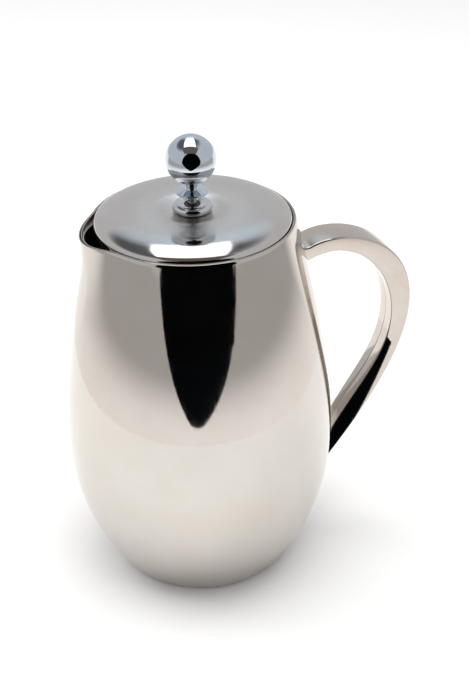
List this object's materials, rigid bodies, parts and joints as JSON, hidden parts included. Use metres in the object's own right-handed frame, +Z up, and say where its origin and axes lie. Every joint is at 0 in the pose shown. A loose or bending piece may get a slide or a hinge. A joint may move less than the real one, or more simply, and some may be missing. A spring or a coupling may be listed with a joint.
{
  "type": "coffee press pot",
  "caption": "Double-walled steel coffee press with barrel body, drawn spout, hollow loop handle, low domed lid, and a ball-knobbed plunger rod that drives a sprung mesh filter.",
  "frame": {"origin": "centre of the flat base panel that the pot stands on", "axes": "+Z up along the plunger rod, +X towards the handle, the spout along -X"},
  "size_m": [0.1806, 0.1352, 0.2354],
  "materials": {
    "mirror_steel": "mirror polish",
    "vessel_steel": "satin inside",
    "base_steel": "satin",
    "handle_steel": "mirror polish",
    "lid_steel": "polished with fine scratches",
    "liner_steel": "satin",
    "boss_steel": "mirror polish",
    "bush_nylon": "moulded",
    "fastener_steel": "turned",
    "knob_steel": "mirror polish",
    "rod_steel": "ground",
    "mesh_steel": "woven",
    "filter_steel": "pressed",
    "coil_steel": "spring wire"
  },
  "bodies": {
    "pot": {"outer_shell": "mirror_steel", "inner_vessel": "vessel_steel", "base_plate": "base_steel", "handle_left_shell": "handle_steel", "handle_right_shell": "handle_steel"},
    "lid": {"lid_cover": "lid_steel", "guide_boss": "boss_steel", "lid_sleeve": "fastener_steel", "boss_washer": "fastener_steel", "boss_nut": "fastener_steel"},
    "liner": {"lid_liner": "liner_steel"},
    "bush": {"guide_bush": "bush_nylon"},
    "plunger": {"knob_ball": "knob_steel", "knob_collar": "knob_steel", "plunger_rod": "rod_steel", "filter_nut": "fastener_steel", "cross_plate": "filter_steel", "filter_mesh": "mesh_steel", "spring_plate": "filter_steel", "edge_coil": "coil_steel", "filter_hub": "fastener_steel"}
  },
  "joints": [
    {"name": "lid_lift", "type": "slide", "parent": "pot", "child": "lid", "axis": [0, 0, 1], "range_m": [0, 0.2]},
    {"name": "lid_turn", "type": "hinge", "parent": "lid", "child": "liner", "pos_m": [0, 0, 0.18], "axis": [0, 0, 1], "continuous": true},
    {"name": "plunger_turn", "type": "hinge", "parent": "lid", "child": "bush", "pos_m": [0, 0, 0.19], "axis": [0, 0, 1], "continuous": true},
    {"name": "plunger_press", "type": "slide", "parent": "bush", "child": "plunger", "axis": [0, 0, 1], "range_m": [0, 0.14]}
  ]
}
